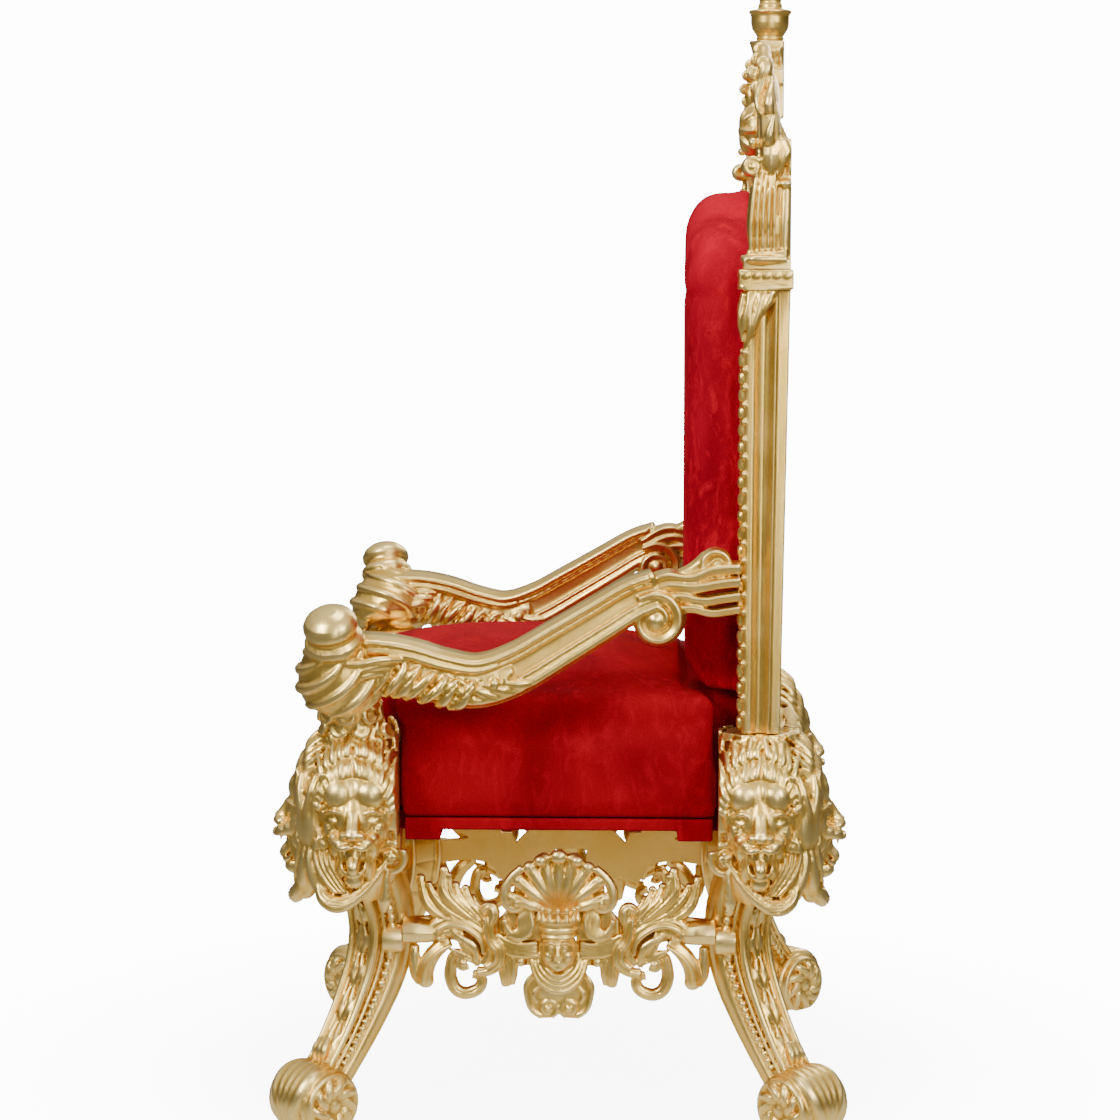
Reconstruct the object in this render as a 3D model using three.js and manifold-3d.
// A gilt carved throne with lion-mask legs, pierced mask aprons, scrolled arms, a tall framed
// back with a carved crest, and red velvet upholstery. Millimetres, +Z up, front towards -Y,
// the sitter's left towards +X, origin on the floor under the middle of the feet.
import * as THREE from "three";
import { mergeVertices } from "three/addons/utils/BufferGeometryUtils.js";
import Module from "manifold-3d";

const wasm = await Module();
wasm.setup();

// Driving sizes
const JOINT_GAP = 0.4; // clearance where two pieces meet face to face
const PLAN_REACH = 440; // centreline to a lion's nose
const BLOCK_OFFSET = 305; // centreline to the middle of each leg block, in X and in Y
const BLOCK_RADIUS = 62;
const BLOCK_FOOT = 352; // height where the block starts above the shaft
const BLOCK_TOP = 609; // height of the block's flat top, under the back post
const NOSE_HEIGHT = 464;
const SHAFT_DEPTH = 78; // along the diagonal, at its widest
const SHAFT_WIDTH = 58; // across the diagonal, at its widest
const FOOT_OFFSET = 373; // centreline to the middle of each scroll foot
const FOOT_RADIUS = 49;
const FOOT_WIDTH = 88;
const PEDESTAL_TOP = 668; // height of the flat seat for the hand scroll
const PEDESTAL_RADIUS = 50;
const PEDESTAL_CLEARANCE = 8; // round the pedestal, where the hand scroll hangs down past it
const APRON_HALF = 240; // half of an apron's length, up to the leg's stub
const APRON_OFFSET = 298; // centreline to the axis of the rail at an apron's ends
const APRON_BACK = 280; // centreline to the flat back of each apron
const APRON_DEPTH = 36;
const APRON_HEIGHT = 278; // height of the rail that runs into the legs
const APRON_RAIL_RADIUS = 21;
const SHELL_TOP = 417;
const DROP_BOTTOM = 148;
const CARVING_SLACK = 2.4; // how far a carved face may move where a solid is lightened
const SEAT_HALF_WIDTH = 322;
const SEAT_FRONT = -352;
const SEAT_REAR = 296;
const SEAT_BOTTOM = 471;
const SEAT_EDGE = 655; // height where the seat's sides meet its domed top
const SEAT_CROWN = 712;
const RAIL_BOTTOM = 452; // underside of the velvet-covered rail
const RAIL_INSET = 5;
const RAIL_END_LENGTH = 62;
const RAIL_END_DROP = 16;
const POST_OFFSET = 320; // centreline to the middle of each back post
const POST_WIDTH = 60;
const POST_DEPTH = 71;
const POST_FRONT = 275;
const POST_TAPER = 0.85; // depth at the foot, as a share of the depth at the top
const CAPITAL_HEIGHT = 29;
const CAPITAL_LIP = 6;
const POST_TOP = 1307;
const BORDER_PITCH = 52;
const PANEL_FRONT = 296;
const PANEL_THICKNESS = 42;
const PANEL_BOTTOM = 664;
const PAD_HALF_WIDTH = 282;
const PAD_FRONT = 194;
const PAD_BOTTOM = 668;
const PAD_TOP = 1432;
const PAD_SHOULDER = 1330; // height where the pad's side turns into its arched top
const PAD_EDGE = 40; // radius of the pad's front edge
const ARM_HALF_THICKNESS = 34;
const ARM_HALF_HEIGHT = 44;
const ARM_REAR_OFFSET = 334; // centreline to the arm where it meets the post
const ARM_FRONT_OFFSET = 396; // centreline to the arm under the hand scroll
const BRACKET_TOP = 895; // height of the arm's rear bracket, against the post
const CREST_FRONT = 292;
const CREST_BACK = 346;
const CREST_SEAT = 1661; // height of the flat top that carries the urn
const URN_HEIGHT = 139;
const URN_RADIUS = 34;
const URN_AXIS = 324; // centreline of the urn, back from the middle of the seat frame

// Finishes
const gilt = new THREE.MeshStandardMaterial({ color: 0xc9a24f, metalness: 0.9, roughness: 0.36 });
const giltBoard = new THREE.MeshStandardMaterial({ color: 0xb08a45, metalness: 0.8, roughness: 0.5 });
const velvet = new THREE.MeshStandardMaterial({ color: 0xa80d16, metalness: 0, roughness: 0.85 });

const vec = (x, y, z) => new THREE.Vector3(x, y, z);
const lerp = THREE.MathUtils.lerp;
const DIAGONAL_SIDE = vec(1, 1, 0).normalize(); // across the front left leg
const SWAP_FACES = new THREE.Matrix4().set(0, -1, 0, 0, -1, 0, 0, 0, 0, 0, 1, 0, 0, 0, 0, 1);
const FLIP_X = new THREE.Matrix4().makeScale(-1, 1, 1);

// Solids and meshes

function solid(geometry, matrix = new THREE.Matrix4()) {
  const bare = (geometry.index ? geometry.toNonIndexed() : geometry.clone()).applyMatrix4(matrix);
  Object.keys(bare.attributes)
    .filter((name) => name !== "position")
    .forEach((name) => bare.deleteAttribute(name));
  const merged = mergeVertices(bare, 1e-3);
  const triVerts = [];
  for (let i = 0; i < merged.index.count; i += 3) {
    const [a, b, c] = merged.index.array.subarray(i, i + 3);
    if (a !== b && b !== c && a !== c) triVerts.push(a, b, c);
  }
  const body = (order) =>
    new wasm.Manifold(
      new wasm.Mesh({
        numProp: 3,
        vertProperties: merged.attributes.position.array,
        triVerts: new Uint32Array(order),
      }),
    );
  const made = body(triVerts);
  return made.volume() < 0 ? body(triVerts.reverse()) : made;
}

function geometryOf(made) {
  const { vertProperties, triVerts, numProp, numVert } = made.getMesh();
  const places = new Float32Array(numVert * 3);
  for (let i = 0; i < numVert; i++) {
    places.set(vertProperties.subarray(i * numProp, i * numProp + 3), i * 3);
  }
  const geometry = new THREE.BufferGeometry();
  geometry.setAttribute("position", new THREE.BufferAttribute(places, 3));
  geometry.setIndex(new THREE.BufferAttribute(new Uint32Array(triVerts), 1));
  return geometry;
}

const union = (list) => list.reduce((whole, next) => whole.add(next));

// The outer skin of a joined body, without the small hollows shut in between its parts.
function outerBody(made) {
  const skins = made.decompose().filter((skin) => skin.volume() > 0);
  return skins.reduce((largest, next) => (next.volume() > largest.volume() ? next : largest));
}
const mirrored = (made, matrix) => solid(geometryOf(made), matrix);

// The same body with fewer triangles: a point slides along an edge onto its neighbour wherever no
// face moves more than the slack or folds over. Points that keep() names stay where they are.
function lightened(made, slack, keep = () => false) {
  const { vertProperties, triVerts, numProp, numVert } = outerBody(made).getMesh();
  const points = Array.from({ length: numVert }, (_, i) => vec(...vertProperties.subarray(i * numProp, i * numProp + 3)));
  const faces = Array.from({ length: triVerts.length / 3 }, (_, i) => [...triVerts.subarray(3 * i, 3 * i + 3)]);
  const facesAt = points.map(() => new Set());
  faces.forEach((face, i) => face.forEach((corner) => facesAt[corner].add(i)));
  const normalOf = (face) => {
    const [a, b, c] = face.map((corner) => points[corner]);
    return b.clone().sub(a).cross(c.clone().sub(a));
  };
  const neighbours = (point) => new Set([...facesAt[point]].flatMap((i) => faces[i]).filter((other) => other !== point));
  const slides = (from, to) => {
    const near = neighbours(to);
    if ([...neighbours(from)].filter((other) => near.has(other)).length !== 2) return false;
    const step = points[to].clone().sub(points[from]);
    return [...facesAt[from]].every((i) => {
      if (faces[i].includes(to)) return true;
      const before = normalOf(faces[i]).normalize();
      const after = normalOf(faces[i].map((corner) => (corner === from ? to : corner)));
      const area = after.length();
      return Math.abs(before.dot(step)) <= slack && area > 1e-3 && before.dot(after) > 0.4 * area;
    });
  };
  const slide = (from, to) => {
    for (const i of [...facesAt[from]]) {
      if (faces[i].includes(to)) {
        faces[i].forEach((corner) => facesAt[corner].delete(i));
        faces[i] = null;
      } else {
        faces[i] = faces[i].map((corner) => (corner === from ? to : corner));
        facesAt[to].add(i);
      }
    }
    facesAt[from].clear();
  };
  const free = points.map((point) => !keep(point));
  for (let pass = 0, moved = true; moved && pass < 6; pass++) {
    moved = false;
    for (let from = 0; from < points.length; from++) {
      if (!free[from] || !facesAt[from].size) continue;
      const reach = (to) => points[to].distanceTo(points[from]);
      const target = [...neighbours(from)].sort((a, b) => reach(a) - reach(b)).find((to) => slides(from, to));
      if (target === undefined) continue;
      slide(from, target);
      moved = true;
    }
  }
  const geometry = new THREE.BufferGeometry().setFromPoints(points);
  geometry.setIndex(faces.filter(Boolean).flat());
  return solid(geometry.toNonIndexed());
}

function named(name, made, material) {
  const geometry = geometryOf(outerBody(made));
  geometry.computeVertexNormals();
  const mesh = new THREE.Mesh(geometry, material);
  mesh.name = name;
  return mesh;
}

// An ellipsoid with its centre and three half sizes, turned about X by a tilt.
function ball(centre, sizes, sides = 8, rings = 5, tilt = 0) {
  const geometry = new THREE.SphereGeometry(1, sides, rings).rotateX(Math.PI / 2);
  geometry.scale(sizes.x, sizes.y, sizes.z).rotateX(tilt);
  return solid(geometry.translate(centre.x, centre.y, centre.z));
}

function box(low, high) {
  const size = high.clone().sub(low);
  const middle = low.clone().add(high).multiplyScalar(0.5);
  return solid(new THREE.BoxGeometry(size.x, size.y, size.z).translate(middle.x, middle.y, middle.z));
}

// A round bar between two points, with a radius at each.
function rod(from, to, radiusFrom, radiusTo, sides = 10) {
  const along = to.clone().sub(from);
  const geometry = new THREE.CylinderGeometry(radiusTo, radiusFrom, along.length(), sides);
  const turn = new THREE.Quaternion().setFromUnitVectors(vec(0, 1, 0), along.clone().normalize());
  geometry.applyQuaternion(turn);
  const middle = from.clone().add(to).multiplyScalar(0.5);
  return solid(geometry.translate(middle.x, middle.y, middle.z));
}

function turned(profile, centre, sides, axis = vec(0, 0, 1)) {
  const points = profile.map(([radius, height]) => new THREE.Vector2(radius, height));
  const geometry = new THREE.LatheGeometry(points, sides);
  geometry.applyQuaternion(new THREE.Quaternion().setFromUnitVectors(vec(0, 1, 0), axis.clone().normalize()));
  return solid(geometry.translate(centre.x, centre.y, centre.z));
}

const shapeOf = (points) => new THREE.Shape(points.map(([x, y]) => new THREE.Vector2(x, y)));

function roundSection(sides) {
  const turn = (i) => (2 * Math.PI * i) / sides;
  return Array.from({ length: sides }, (_, i) => [Math.cos(turn(i)), Math.sin(turn(i))]);
}

// A bar of the given section bent along a curve. The section's x axis stays nearest to side, and
// size(t) gives the two half sizes of the section at the share t of the curve's length.
function bend(section, curve, side, size, steps) {
  const geometry = new THREE.ExtrudeGeometry(shapeOf(section), { depth: 1, steps, bevelEnabled: false });
  const place = geometry.attributes.position;
  for (let i = 0; i < place.count; i++) {
    const t = THREE.MathUtils.clamp(place.getZ(i), 0, 1);
    const [wide, deep] = size(t);
    const along = curve.getTangentAt(t);
    const across = side.clone().addScaledVector(along, -side.dot(along)).normalize();
    const out = along.clone().cross(across);
    const point = curve.getPointAt(t);
    point.addScaledVector(across, place.getX(i) * wide).addScaledVector(out, place.getY(i) * deep);
    place.setXYZ(i, point.x, point.y, point.z);
  }
  return solid(geometry);
}

const through = (points) => new THREE.CatmullRomCurve3(points, false, "centripetal");

// A carved strand with a flat back: it lies along a curve in the plane of its back, swells and
// then tapers to its tip. front is the direction that its face looks in.
const STRAND_SECTION = [
  [0, -1],
  [1, -0.45],
  [1, 0.45],
  [0, 1],
];
function strand(points, front, halfWidth, height, steps, tip = 0.45) {
  const swell = (t) => lerp(1, tip, t * t) * (0.75 + 0.25 * Math.sin(Math.PI * Math.min(1, t + 0.3)));
  const size = (t) => [height * (0.6 + 0.4 * swell(t)), halfWidth * swell(t)];
  return bend(STRAND_SECTION, through(points), front, size, steps);
}

// How far a ray from the origin stays inside an ellipsoid, or 0 where it misses it.
function reachOf(direction, [centre, sizes]) {
  const d = direction.clone().divide(sizes);
  const c = centre.clone().divide(sizes);
  const [a, b, rest] = [d.dot(d), d.dot(c), c.dot(c) - 1];
  const square = b * b - a * rest;
  return square < 0 ? 0 : Math.max(0, (b + Math.sqrt(square)) / a);
}

// One skin over a group of ellipsoids, seen from a point inside them all. Its columns spread from
// the front, at -Y, round to the back, with a ring at each of the angles, in degrees.
function skin(origin, blobs, columns, angles, shapeOut = () => 1) {
  const arc = [0, ...angles, 180].map((angle) => {
    const turn = THREE.MathUtils.degToRad(angle);
    return new THREE.Vector2(angle % 180 ? Math.sin(turn) : 0, Math.cos(turn));
  });
  const geometry = new THREE.LatheGeometry(arc, columns).rotateX(Math.PI);
  const place = geometry.attributes.position;
  const ray = vec(0, 0, 0);
  for (let i = 0; i < place.count; i++) {
    ray.fromBufferAttribute(place, i).normalize();
    const reach = Math.max(...blobs.map((blob) => reachOf(ray, blob)));
    ray.multiplyScalar(reach * shapeOut(ray)).add(origin);
    place.setXYZ(i, ray.x, ray.y, ray.z);
  }
  return solid(geometry);
}

// A spiral in a plane: it starts at radius outer and angle start, and winds in to radius inner.
class Spiral extends THREE.Curve {
  constructor(centre, right, up, outer, inner, start, turn) {
    super();
    Object.assign(this, { centre, right, up, outer, inner, start, turn });
  }

  getPoint(t, target = new THREE.Vector3()) {
    const angle = this.start + this.turn * t;
    const radius = lerp(this.outer, this.inner, t);
    target.copy(this.centre).addScaledVector(this.right, radius * Math.cos(angle));
    return target.addScaledVector(this.up, radius * Math.sin(angle));
  }
}

// Leg

// A lion's mask, facing -Y, with its middle on the block's axis and z = 0 at the tip of the nose:
// a round forehead, muzzle and cheeks, an open mouth, a jaw, and a mane of pointed locks.
const MANE_LOCKS = 8;
function lionMask() {
  const nose = PLAN_REACH - BLOCK_OFFSET;
  const origin = vec(0, -0.4 * nose, 5);
  const blob = (x, out, z, wide, deep, high) => [
    vec(x, -out * nose, z).sub(origin),
    vec(wide, deep, high),
  ];
  const pair = (x, ...rest) => [blob(x, ...rest), blob(-x, ...rest)];
  const blobs = [
    blob(0, 0.42, 22, 58, 56, 86),
    blob(0, 0.84, 6, 15, 26, 22),
    blob(0, 0.7, -80, 27, 26, 20),
    blob(0, 0.5, -50, 40, 44, 50),
    ...pair(24, 0.7, 42, 29, 28, 29),
    ...pair(17, 0.8, -16, 21, 26, 14),
    ...pair(40, 0.58, -8, 21, 28, 28),
  ];
  const ruffled = (ray) => {
    const round = Math.atan2(ray.x, ray.z);
    const mane = THREE.MathUtils.smoothstep(ray.y, -0.45, -0.05) * (ray.y < 0.5);
    return 1 + 0.13 * mane * (0.35 + Math.cos(MANE_LOCKS * round));
  };
  return skin(origin, blobs, 2 * MANE_LOCKS, [13, 27, 40, 54, 70, 88, 106], ruffled);
}

// The band that hangs from the corner volute, passes under the chin and ends at the inner rosette,
// for the mask that faces +X.
function maskSwag() {
  const face = BLOCK_OFFSET;
  const points = [
    vec(face + 88, -face - 44, 436),
    vec(face + 90, -face - 38, 380),
    vec(face + 80, -face - 14, 346),
    vec(face + 76, -face + 20, 362),
    vec(face + 60, -face + 50, 418),
  ];
  const thick = (t) => 8 + 9 * Math.sin(Math.PI * t);
  const roll = (out, side, z, radius) =>
    turned([[0, 0], [radius * 0.8, out * 0.7], [radius * 0.5, out], [0, out]], vec(face, -face + side, z), 6, vec(1, 0, 0));
  return [
    bend(roundSection(4), through(points), vec(1, 0, 0), (t) => [thick(t), thick(t)], 6),
    roll(66, 52, 420, 30),
    roll(98, -46, 438, 19),
  ];
}

// The S-curved shaft in the diagonal plane, with a sunk outer panel and a channel down each side.
function legShaft() {
  const half = [
    [0.96, -1],
    [0.84, 0],
    [1, 0.46],
    [1, 1],
    [0.55, 1],
  ];
  const section = [...half, [0, 0.82], ...half.map(([x, y]) => [-x, y]).reverse()];
  const spine = [
    [0, BLOCK_FOOT + 52],
    [-26, BLOCK_FOOT - 20],
    [-29, BLOCK_FOOT - 62],
    [-21, 233],
    [-2, 180],
    [24, 124],
    [50, 76],
  ].map(([shift, z]) => vec(BLOCK_OFFSET + shift, -BLOCK_OFFSET - shift, z));
  const size = (t) => {
    const late = THREE.MathUtils.smoothstep(t, 0.3, 1);
    return [(SHAFT_WIDTH / 2) * (1 - 0.14 * late), (SHAFT_DEPTH / 2) * (1 - 0.5 * late)];
  };
  return bend(section, through(spine), DIAGONAL_SIDE, size, 7);
}

// The foot: a drum across the diagonal with a raised rosette on each end, cut flat at the floor.
function scrollFoot() {
  const end = FOOT_WIDTH / 2;
  const half = [
    [0, 1.24],
    [0.2, 1.24],
    [0.34, 1.02],
    [0.62, 1.14],
    [0.86, 1],
    [1, 0.86],
  ];
  const rim = half.map(([radius, out]) => [radius * FOOT_RADIUS, out * end]);
  const profile = [...rim.map(([radius, out]) => [radius, -out]), ...rim.reverse()];
  const centre = vec(FOOT_OFFSET, -FOOT_OFFSET, FOOT_RADIUS - 3);
  const reach = 4 * FOOT_RADIUS;
  const low = vec(FOOT_OFFSET - reach, -FOOT_OFFSET - reach, 0);
  const high = vec(FOOT_OFFSET + reach, -FOOT_OFFSET + reach, reach);
  return turned(profile, centre, 12, DIAGONAL_SIDE).intersect(box(low, high));
}

// The stubs that carry the ends of the two aprons next to the front left leg.
function apronStub() {
  const from = APRON_HALF + JOINT_GAP;
  const rail = (x) => vec(x, -APRON_OFFSET, APRON_HEIGHT);
  return rod(rail(from), rail(from + 30), APRON_RAIL_RADIUS, APRON_RAIL_RADIUS + 2, 8);
}

function legBlock() {
  const profile = [
    [0, BLOCK_FOOT - 12],
    [34, BLOCK_FOOT - 12],
    [BLOCK_RADIUS, BLOCK_FOOT + 30],
    [BLOCK_RADIUS, BLOCK_TOP - 34],
    [BLOCK_RADIUS - 12, BLOCK_TOP],
    [0, BLOCK_TOP],
  ];
  return turned(profile, vec(BLOCK_OFFSET, -BLOCK_OFFSET, 0), 8);
}

// The carved stump over a front block: it leans outwards, and curled florets swell its sides.
const FLORET_RINGS = 6;
function armPedestal() {
  const top = pedestalCentre();
  const foot = vec(BLOCK_OFFSET + 8, -BLOCK_OFFSET - 4, BLOCK_TOP - 24);
  const shaft = new THREE.CylinderGeometry(PEDESTAL_RADIUS, BLOCK_RADIUS - 8, 1, 2 * FLORET_RINGS, 3);
  const place = shaft.attributes.position;
  for (let i = 0; i < place.count; i++) {
    const t = place.getY(i) + 0.5;
    const round = Math.atan2(place.getX(i), place.getZ(i));
    const row = Math.round(3 * t);
    const floret = 1 + 0.11 * Math.cos(FLORET_RINGS * round) * (row % 2 ? 1 : -1) * (row % 3 ? 1 : 0);
    const middle = foot.clone().lerp(top, t);
    place.setXYZ(i, middle.x + place.getX(i) * floret, middle.y + place.getZ(i) * floret, middle.z);
  }
  return solid(shaft);
}

function pedestalCentre() {
  return vec(ARM_FRONT_OFFSET - 44, -BLOCK_OFFSET - 16, PEDESTAL_TOP);
}

function leg(isFront) {
  const mask = lionMask();
  const atBlock = (angle) =>
    new THREE.Matrix4().makeTranslation(BLOCK_OFFSET, -BLOCK_OFFSET, NOSE_HEIGHT).multiply(new THREE.Matrix4().makeRotationZ(angle));
  const oneSide = union([apronStub(), ...maskSwag().map((part) => mirrored(part, SWAP_FACES))]);
  const parts = [
    legBlock(),
    legShaft(),
    scrollFoot(),
    mirrored(mask, atBlock(0)),
    mirrored(mask, atBlock(Math.PI / 2)),
    oneSide,
    mirrored(oneSide, SWAP_FACES),
  ];
  const whole = union(isFront ? [...parts, armPedestal()] : parts).subtract(seatClearance());
  const stub = APRON_HALF + JOINT_GAP;
  const top = isFront ? PEDESTAL_TOP : BLOCK_TOP;
  const keep = ({ x, y, z }) => z < 1 || z > top - 1 || x < stub + 1 || -y < stub + 1;
  return lightened(whole, CARVING_SLACK, keep);
}

// Everything nearer the middle than this belongs to the seat, so the masks' manes stop short of it.
function seatClearance() {
  const corner = BLOCK_OFFSET - BLOCK_RADIUS;
  const low = RAIL_BOTTOM - RAIL_END_DROP - 8;
  const besideSeat = box(vec(0, -PLAN_REACH, low), vec(corner, 0, PEDESTAL_TOP));
  return besideSeat.add(box(vec(0, -corner, low), vec(PLAN_REACH, 0, PEDESTAL_TOP)));
}

// Apron

// One side's scrolls, leaves and curls, mirrored for the other. x runs along the apron, y = 0 is
// its flat back, with the carved face towards -y, and z is the height above the floor.
function apronWing() {
  const front = vec(0, -1, 0);
  const at = (x, z) => vec(x, 0, APRON_HEIGHT + z);
  const leaf = (tip) => [at(164, 0), at(lerp(164, tip[0], 0.6), tip[1] * 0.5), at(...tip)];
  return [
    strand([at(APRON_HALF, 0), at(196, 4), at(150, 20), at(108, 4), at(94, -38), at(120, -70)], front, 20, APRON_DEPTH, 8, 0.5),
    strand([at(132, -34), at(170, -36), at(180, -66), at(156, -86), at(136, -74)], front, 13, APRON_DEPTH - 8, 5),
    strand(leaf([212, 84]), front, 27, APRON_DEPTH - 8, 2, 0.5),
    strand(leaf([178, 96]), front, 27, APRON_DEPTH - 4, 2, 0.5),
    strand(leaf([142, 62]), front, 24, APRON_DEPTH - 8, 2, 0.6),
    strand(leaf([212, -76]), front, 22, APRON_DEPTH - 9, 2, 0.7),
    strand([at(112, 0), at(74, -12), at(30, -16)], front, 28, APRON_DEPTH - 12, 2, 0.9),
    strand([at(92, -26), at(84, -56), at(74, -76)], front, 16, APRON_DEPTH - 10, 2),
  ];
}

// A shell: a fan of ribs with a scalloped rim, standing on a flat back in the plane y = 0.
function shell(centre, wide, high, low, depth, ribs) {
  const columns = 4 * ribs;
  const profile = [[0, 0], [1, 0], [1, 0.5], [0.5, 1], [0, 1]];
  const geometry = new THREE.LatheGeometry(profile.map(([r, y]) => new THREE.Vector2(r, y)), columns).rotateX(Math.PI);
  const place = geometry.attributes.position;
  for (let i = 0; i < place.count; i++) {
    const [x, y, z] = [place.getX(i), place.getY(i), place.getZ(i)];
    const radius = Math.hypot(x, z);
    const rib = Math.cos(2 * ribs * Math.atan2(x, z));
    const lobe = 1 + 0.07 * rib;
    const tall = z > 0 ? high : low;
    place.setXYZ(i, x * wide * lobe, y * depth * (1 + 0.16 * rib * radius), z * tall * lobe);
  }
  return solid(geometry, new THREE.Matrix4().makeTranslation(centre.x, centre.y, centre.z));
}

// The crowned mask and the bib with two curls that hangs below it.
function mask() {
  const front = vec(0, -1, 0);
  const chin = 235 + 14;
  const middle = vec(0, -APRON_DEPTH + 12, chin + 36);
  const blobs = [
    [vec(0, 4, 2), vec(29, 28, 37)],
    [vec(0, -22, -6), vec(7, 14, 13)],
    [vec(0, -14, -22), vec(14, 14, 7)],
    [vec(0, -14, 14), vec(24, 13, 7)],
    [vec(0, -10, -33), vec(11, 13, 8)],
  ];
  const bib = [vec(0, 0, chin + 20), vec(0, 0, chin - 30), vec(0, 0, DROP_BOTTOM + 10)];
  const parts = [
    skin(middle, blobs, 10, [16, 32, 50, 68, 90]),
    rod(vec(0, middle.y, chin + 66), vec(0, middle.y, chin + 101), 26, 33, 8),
    strand(bib, front, 52, APRON_DEPTH - 6, 3, 0.8),
  ];
  for (const hand of [-1, 1]) {
    const curl = vec(hand * 24, 0, DROP_BOTTOM + 22);
    parts.push(rod(curl, curl.clone().setY(-APRON_DEPTH + 2), 23, 17, 7));
  }
  return parts;
}

function apron() {
  const wing = union(apronWing());
  const fan = shell(vec(0, 0, APRON_HEIGHT + 28), 78, SHELL_TOP - APRON_HEIGHT - 32, 46, APRON_DEPTH - 10, 5);
  const whole = union([wing, mirrored(wing, FLIP_X), fan, ...mask()]);
  const ends = box(vec(-APRON_HALF, -2 * APRON_DEPTH, 0), vec(APRON_HALF, 0, 2 * SHELL_TOP));
  return lightened(whole.intersect(ends), CARVING_SLACK, ({ x }) => Math.abs(x) > APRON_HALF - 1);
}

// Arm

// Points of the left arm: y and z in the plane of the arm, and the share of its splay outwards.
function armSpine(list) {
  return through(list.map(([y, z, splay]) => vec(lerp(ARM_REAR_OFFSET, ARM_FRONT_OFFSET, splay), y, z)));
}

function arm() {
  const across = vec(1, 0, 0);
  const moulded = [
    [1, 0.6],
    [0.6, 1],
    [-0.6, 1],
    [-1, 0.6],
    [-0.84, 0],
    [-1, -0.6],
    [-0.6, -1],
    [0.6, -1],
    [1, -0.6],
    [0.84, 0],
  ];
  const body = armSpine([
    [-322, 724, 1],
    [-268, 724, 0.97],
    [-222, 717, 0.9],
    [-170, 702, 0.8],
    [-116, 695, 0.69],
    [-60, 713, 0.56],
    [4, 750, 0.42],
    [64, 786, 0.3],
    [112, 815, 0.2],
    [150, 827, 0.14],
  ]);
  const bodySize = (t) => {
    return [ARM_HALF_THICKNESS * (1 - 0.1 * t), ARM_HALF_HEIGHT * (1 - 0.28 * t)];
  };
  const eye = vec(lerp(ARM_REAR_OFFSET, ARM_FRONT_OFFSET, 0.14), 149, 787);
  const scroll = new Spiral(eye, vec(0, 1, 0), vec(0, 0, 1), 34, 17, 0.6 * Math.PI, -1.6 * Math.PI);
  const bracket = armSpine([
    [152, 842, 0.14],
    [182, 846, 0.08],
    [214, 832, 0.02],
    [246, 824, 0],
    [POST_FRONT - JOINT_GAP, 824, 0],
  ]);
  const rear = vec(ARM_REAR_OFFSET, 240, 868);
  const halfRear = ARM_HALF_THICKNESS - 8;
  const [under, behind] = [PEDESTAL_TOP + JOINT_GAP, POST_FRONT - JOINT_GAP];
  const seatOfScroll = PEDESTAL_RADIUS + PEDESTAL_CLEARANCE;
  const pedestal = turned([[0, 0], [seatOfScroll, 0], [seatOfScroll, under], [0, under]], pedestalCentre().setZ(0), 8);
  const post = box(vec(0, behind, 0), vec(2 * ARM_FRONT_OFFSET, 2 * POST_FRONT, PAD_TOP));
  const whole = union([
    bend(moulded, body, across, bodySize, 9),
    bend(roundSection(4), scroll, across, (t) => [1.2 * (ARM_HALF_THICKNESS - 5 - 6 * t), 19 - 7 * t], 8),
    rod(eye.clone().add(vec(-28, 0, 0)), eye.clone().add(vec(30, 0, 0)), 19, 19, 7),
    bend(roundSection(8), bracket, across, (t) => [halfRear, lerp(16, 34, t)], 4),
    rod(rear.clone().add(vec(-halfRear, 0, 0)), rear.clone().add(vec(halfRear, 0, 0)), 27, 27, 8),
    ...handScroll(),
    ...armLeaves(),
  ]);
  const keep = ({ y, z }) => y > behind - 1 || (y < -200 && Math.abs(z - under) < 1);
  return lightened(whole.subtract(pedestal).subtract(post), CARVING_SLACK, keep);
}

// The hand scroll: a whorl of shrinking coils that leans outwards and a little forwards.
function handScroll() {
  const axis = vec(0.5, -0.12, 0.86);
  const coils = [
    [0, -38],
    [46, -36],
    [66, -20],
    [69, 0],
    [60, 18],
    [61, 30],
    [52, 44],
    [42, 53],
    [44, 63],
    [39, 76],
    [31, 84],
    [34, 96],
    [29, 112],
    [15, 122],
    [0, 125],
  ];
  return [turned(coils, vec(ARM_FRONT_OFFSET - 4, -322, 702), 10, axis)];
}

// Leaves that lie along the arm behind the hand scroll.
function armLeaves() {
  const leaves = 3;
  return Array.from({ length: leaves }, (_, i) => {
    const t = i / (leaves - 1);
    const x = lerp(ARM_FRONT_OFFSET, ARM_REAR_OFFSET + 44, t) + 18;
    return ball(vec(x, lerp(-262, -128, t), lerp(728, 720, t)), vec(18, 38, 15), 5, 3, -0.55);
  });
}

// Seat

// The four corners that are cut out of the seat round the leg blocks, wider by a margin.
function cornerNotches(margin) {
  const inner = BLOCK_OFFSET - BLOCK_RADIUS - JOINT_GAP - margin - 2;
  const outer = 2 * BLOCK_OFFSET;
  const height = 4 * SEAT_CROWN;
  return [-1, 1].flatMap((i) =>
    [-1, 1].map((j) => {
      const [x1, x2] = [i * inner, i * outer].sort((a, b) => a - b);
      const [y1, y2] = [j * inner, j * outer].sort((a, b) => a - b);
      return box(vec(x1, y1, -1), vec(x2, y2, height));
    }),
  );
}

function seatBlank(margin, bottom, top) {
  const low = vec(-SEAT_HALF_WIDTH + margin, SEAT_FRONT + margin, bottom);
  const high = vec(SEAT_HALF_WIDTH - margin, SEAT_REAR - margin, top);
  return cornerNotches(margin).reduce((left, notch) => left.subtract(notch), box(low, high));
}

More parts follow.
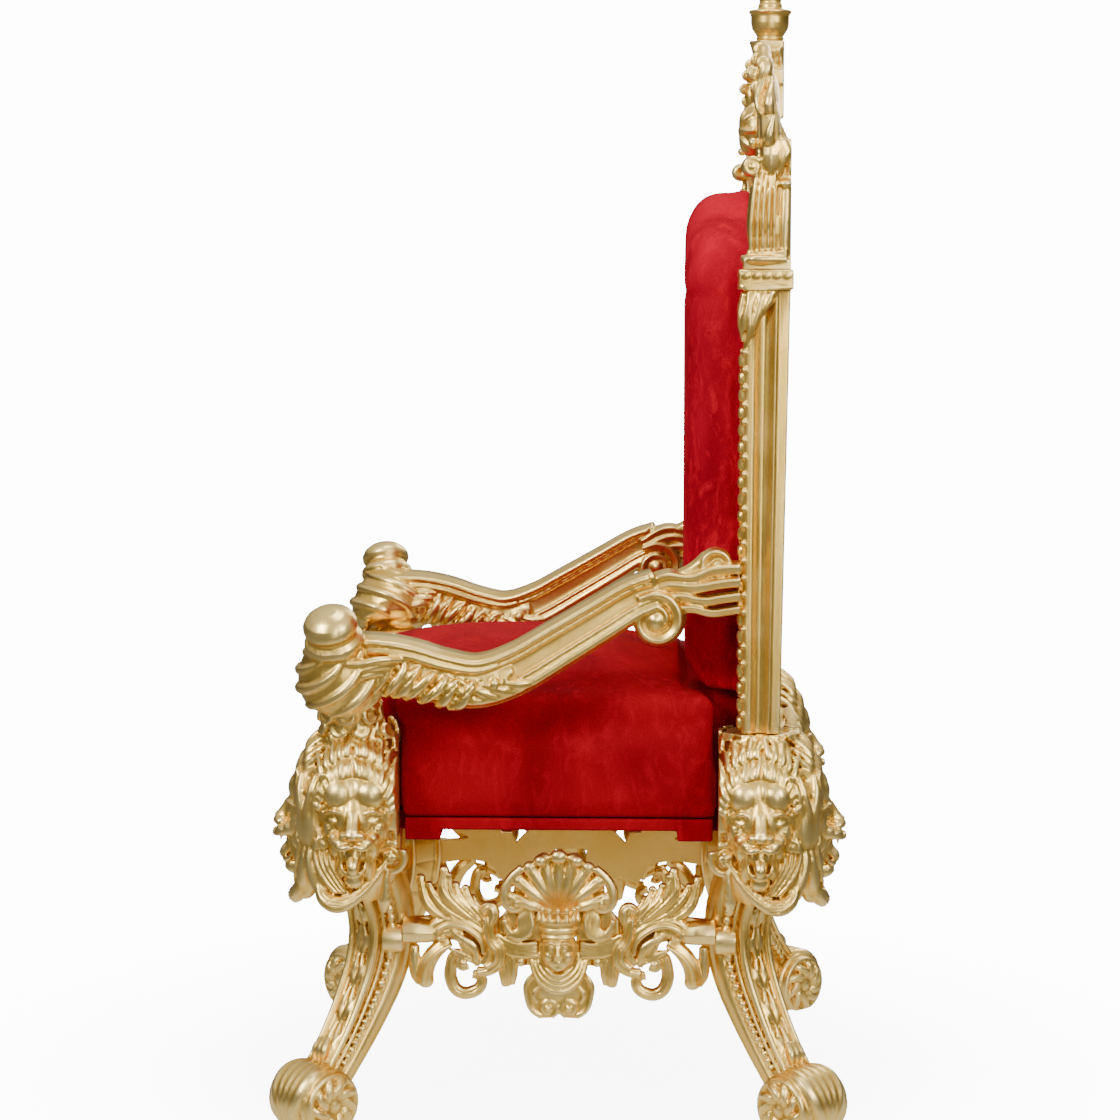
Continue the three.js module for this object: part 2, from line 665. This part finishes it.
// The stuffed seat: straight sides and a domed top, with room left for the pad at the back.
function seatCushion() {
  const sag = SEAT_CROWN - SEAT_EDGE;
  const span = SEAT_HALF_WIDTH;
  const radius = (span * span + sag * sag) / (2 * sag);
  const reach = 1.45 * span;
  const rings = 4;
  const profile = [[0, 0]];
  profile.push([reach, 0]);
  for (let i = rings; i >= 0; i--) {
    const r = (reach * i) / rings;
    profile.push([i === 0 ? 0 : r, SEAT_CROWN - radius + Math.sqrt(radius * radius - r * r)]);
  }
  const dome = turned(profile, vec(0, (SEAT_FRONT + PAD_FRONT) / 2, 0), 20);
  const padRoom = box(vec(-SEAT_HALF_WIDTH, PAD_FRONT - 6, PAD_BOTTOM - 6), vec(SEAT_HALF_WIDTH, 2 * SEAT_REAR, 2 * SEAT_CROWN));
  const behind = box(vec(-SEAT_HALF_WIDTH, PAD_FRONT - 6, PANEL_BOTTOM - 6), vec(SEAT_HALF_WIDTH, 2 * SEAT_REAR, 2 * SEAT_CROWN));
  return seatBlank(0, SEAT_BOTTOM, 2 * SEAT_CROWN).intersect(dome).subtract(padRoom).subtract(behind);
}

// The velvet-covered rail under the seat, deeper for a short length next to each leg.
function seatRail() {
  const top = SEAT_BOTTOM - JOINT_GAP;
  const blank = seatBlank(RAIL_INSET, RAIL_BOTTOM - RAIL_END_DROP, top);
  const inner = BLOCK_OFFSET - BLOCK_RADIUS;
  const end = inner - RAIL_END_LENGTH;
  const low = RAIL_BOTTOM - 2 * RAIL_END_DROP;
  const alongSides = box(vec(-2 * inner, -end, low), vec(2 * inner, end, RAIL_BOTTOM));
  const alongFront = box(vec(-end, -2 * inner, low), vec(end, 2 * inner, RAIL_BOTTOM));
  const wall = 26;
  const hollow = box(vec(-inner + wall, -inner + wall, low), vec(inner - wall, inner - wall, RAIL_BOTTOM + 8));
  return blank.subtract(alongSides).subtract(alongFront).subtract(hollow);
}

// Back

// A post: a front edge with two beads, a wide flute down the outer side and a plain rear flat.
function postShaft() {
  const section = [
    [-1, -1],
    [0.86, -1],
    [1, -0.8],
    [1, -0.46],
    [0.76, -0.28],
    [0.76, 0.02],
    [0.98, 0.24],
    [0.9, 0.42],
    [1, 0.62],
    [1, 1],
    [-1, 1],
  ];
  const bottom = BLOCK_TOP + JOINT_GAP;
  const half = POST_DEPTH / 2;
  const middle = (t) => POST_FRONT + half * lerp(POST_TAPER, 1, t);
  const top = POST_TOP - CAPITAL_HEIGHT + 4;
  const line = new THREE.LineCurve3(vec(POST_OFFSET, middle(0), bottom), vec(POST_OFFSET, middle(1), top));
  const size = (t) => [POST_WIDTH / 2, half * lerp(POST_TAPER, 1, t)];
  return bend(section, line, vec(1, 0, 0), size, 1);
}

// The carved border up the post's front edge, above the arm: a row of low points, one every BORDER_PITCH.
function postBorder() {
  const bottom = BRACKET_TOP + 10;
  const top = POST_TOP - CAPITAL_HEIGHT - 20;
  const bumps = Math.floor((top - bottom) / BORDER_PITCH);
  const outline = [[-POST_FRONT - 12, bottom + bumps * BORDER_PITCH], [-POST_FRONT - 12, bottom]];
  for (let i = 0; i < bumps; i++) {
    const low = bottom + i * BORDER_PITCH;
    outline.push([-POST_FRONT - 1, low], [-POST_FRONT + CAPITAL_LIP, low + BORDER_PITCH / 2]);
  }
  outline.push([-POST_FRONT - 1, bottom + bumps * BORDER_PITCH]);
  const geometry = new THREE.ExtrudeGeometry(shapeOf(outline), { depth: 34, bevelEnabled: false });
  geometry.rotateX(Math.PI / 2).rotateZ(-Math.PI / 2);
  return solid(geometry.translate(POST_OFFSET + 26, 0, 0));
}

function post() {
  const lip = CAPITAL_LIP;
  const x1 = POST_OFFSET - POST_WIDTH / 2;
  const x2 = POST_OFFSET + POST_WIDTH / 2;
  const back = POST_FRONT + POST_DEPTH;
  const top = POST_TOP - CAPITAL_HEIGHT;
  const capital = box(vec(x1, POST_FRONT - lip, top), vec(x2 + lip, back + lip - 2, POST_TOP));
  const leaves = [14, 40].map((y) => rod(vec(x2 - 3, POST_FRONT + y, top - 4), vec(x2 + 1, POST_FRONT + y - 6, top - 66), 10, 7, 5));
  return union([postShaft(), postBorder(), capital, ...leaves]);
}

function backPanel() {
  const half = POST_OFFSET - POST_WIDTH / 2 - JOINT_GAP;
  const back = PANEL_FRONT + PANEL_THICKNESS;
  const board = box(vec(-half, PANEL_FRONT, PANEL_BOTTOM), vec(half, back - 8, POST_TOP));
  const raised = box(vec(-half + 46, back - 9, PANEL_BOTTOM + 40), vec(half - 46, back, POST_TOP - 46));
  return board.add(raised);
}

// The tall back pad: a flat-fronted cushion with an arched top and a rounded front edge.
function backPad() {
  const rise = PAD_TOP - PAD_SHOULDER;
  const outline = (inset) => {
    const half = PAD_HALF_WIDTH - inset;
    const low = PAD_BOTTOM + inset;
    const shape = new THREE.Shape();
    shape.moveTo(-half, low);
    shape.lineTo(half, low);
    shape.lineTo(half, PAD_SHOULDER);
    shape.absellipse(0, PAD_SHOULDER, half, rise - inset, 0, Math.PI, false, 0);
    return shape;
  };
  const layers = 2;
  const depth = PANEL_FRONT - JOINT_GAP - PAD_FRONT;
  const standing = new THREE.Matrix4().makeRotationX(Math.PI / 2);
  const slices = Array.from({ length: layers + 1 }, (_, i) => {
    const turn = (Math.PI / 2) * (i / layers);
    const inset = PAD_EDGE * (1 - Math.sin(turn));
    const front = PAD_FRONT + PAD_EDGE * (1 - Math.cos(turn));
    const thick = PAD_FRONT + depth - front;
    const plate = new THREE.ExtrudeGeometry(outline(inset), { depth: thick, bevelEnabled: false, curveSegments: 8 });
    return solid(plate, standing.clone().premultiply(new THREE.Matrix4().makeTranslation(0, PAD_FRONT + depth, 0)));
  });
  return union(slices);
}

// Crest

// One side of the crest, mirrored for the other: the fluted console on the post, and the scrolls
// and leaves that climb to the middle. x runs across the back and z is the height.
function crestWing() {
  const front = vec(0, -1, 0);
  const depth = CREST_BACK - CREST_FRONT;
  const at = (x, z) => vec(x, CREST_BACK, z);
  const base = POST_TOP + JOINT_GAP;
  const shoulder = 1428; // top of the fluted console
  const side = POST_OFFSET + 20;
  const flute = (y) => rod(vec(side, y, base + 14), vec(side + 4, y, shoulder - 8), 9, 8, 5);
  return [
    box(vec(POST_OFFSET - 30, POST_FRONT, base), vec(POST_OFFSET + 32, CREST_BACK, base + 16)),
    box(vec(POST_OFFSET - 30, POST_FRONT + 12, base), vec(side, CREST_BACK, shoulder)),
    rod(vec(POST_OFFSET - 30, POST_FRONT + 12, 1450), vec(POST_OFFSET + 28, POST_FRONT + 12, 1450), 16, 16, 7),
    flute(POST_FRONT + 24),
    flute(CREST_BACK - 30),
    flute(CREST_BACK - 10),
    strand([at(322, 1420), at(334, 1490), at(282, 1546), at(222, 1530), at(206, 1484), at(238, 1462)], front, 30, depth, 8, 0.5),
    strand([at(262, 1530), at(196, 1574), at(134, 1592), at(88, 1562), at(88, 1520), at(118, 1508)], front, 26, depth - 6, 7, 0.5),
    strand([at(292, 1510), at(322, 1550), at(312, 1592)], front, 24, depth - 8, 2),
    strand([at(252, 1530), at(262, 1580), at(240, 1622)], front, 24, depth - 8, 2),
    strand([at(182, 1560), at(182, 1612), at(154, 1644)], front, 22, depth - 10, 2),
    strand([at(110, 1570), at(104, 1626), at(66, 1654)], front, 24, depth - 8, 2),
  ];
}

// The middle of the crest: an arched board, a ribbed shell over a boss, and the urn's pillar.
function crestMiddle() {
  const half = POST_OFFSET - POST_WIDTH / 2 + 4;
  const arch = new THREE.Shape();
  arch.moveTo(half, POST_TOP + JOINT_GAP);
  arch.lineTo(half, 1392);
  arch.quadraticCurveTo(150, 1490, 0, 1500);
  arch.quadraticCurveTo(-150, 1490, -half, 1392);
  arch.lineTo(-half, POST_TOP + JOINT_GAP);
  const depth = CREST_BACK - PANEL_FRONT - 4;
  const board = new THREE.ExtrudeGeometry(arch, { depth, bevelEnabled: false, curveSegments: 5 });
  board.rotateX(Math.PI / 2).translate(0, CREST_BACK, 0);
  const blobs = [[vec(0, 0, 0), vec(38, 26, 46)]];
  return [
    solid(board),
    shell(vec(0, CREST_BACK, 1530), 84, 98, 60, CREST_BACK - CREST_FRONT - 8, 5),
    skin(vec(0, CREST_FRONT + 8, 1520), blobs, 10, [30, 60, 90]),
    rod(vec(0, URN_AXIS, 1560), vec(0, URN_AXIS, CREST_SEAT), 22, 17, 8),
  ];
}

function crest() {
  const wing = union(crestWing());
  const whole = union([wing, mirrored(wing, FLIP_X), ...crestMiddle()]);
  const keep = ({ z }) => z < POST_TOP + 1 || z > CREST_SEAT - 1;
  return lightened(whole, CARVING_SLACK, keep);
}

// The covered urn: a foot, a round bowl with a wide rim, a stepped lid and a small knop.
function urn() {
  const [r, h] = [URN_RADIUS, URN_HEIGHT];
  const profile = [
    [0, 0],
    [0.8, 0],
    [0.8, 0.05],
    [0.5, 0.09],
    [0.72, 0.14],
    [0.9, 0.22],
    [0.88, 0.29],
    [1, 0.31],
    [1, 0.35],
    [0.5, 0.38],
    [0.5, 0.48],
    [0.72, 0.52],
    [0.56, 0.63],
    [0.24, 0.7],
    [0.4, 0.8],
    [0.36, 0.9],
    [0, 1],
  ].map(([radius, height]) => [radius * r, height * h]);
  return turned(profile, vec(0, URN_AXIS, CREST_SEAT + JOINT_GAP), 10);
}

// The whole throne

const throne = new THREE.Group();

const placed = (node, isRight, isRear) => {
  const corner = new THREE.Group();
  corner.scale.set(isRight ? -1 : 1, isRear ? -1 : 1, 1);
  corner.add(node);
  return corner;
};

const frontLeg = leg(true);
const rearLeg = leg(false);
const leftArm = arm();
const leftPost = post();
for (const side of ["left", "right"]) {
  const isRight = side === "right";
  throne.add(
    placed(named(`front_${side}_leg`, frontLeg, gilt), isRight, false),
    placed(named(`rear_${side}_leg`, rearLeg, gilt), isRight, true),
    placed(named(`${side}_arm`, leftArm, gilt), isRight, false),
    placed(named(`${side}_back_post`, leftPost, gilt), isRight, false),
  );
}

const apronSolid = apron();
["front", "left", "rear", "right"].forEach((side, quarter) => {
  const turn = new THREE.Group();
  turn.rotation.z = (quarter * Math.PI) / 2;
  const board = named(`${side}_apron`, apronSolid, gilt);
  board.position.y = -APRON_BACK;
  turn.add(board);
  throne.add(turn);
});

throne.add(
  named("seat_cushion", seatCushion(), velvet),
  named("seat_rail", seatRail(), velvet),
  named("back_pad", backPad(), velvet),
  named("back_panel", backPanel(), giltBoard),
  named("crest", crest(), gilt),
  named("urn_finial", urn(), gilt),
);

export default throne;
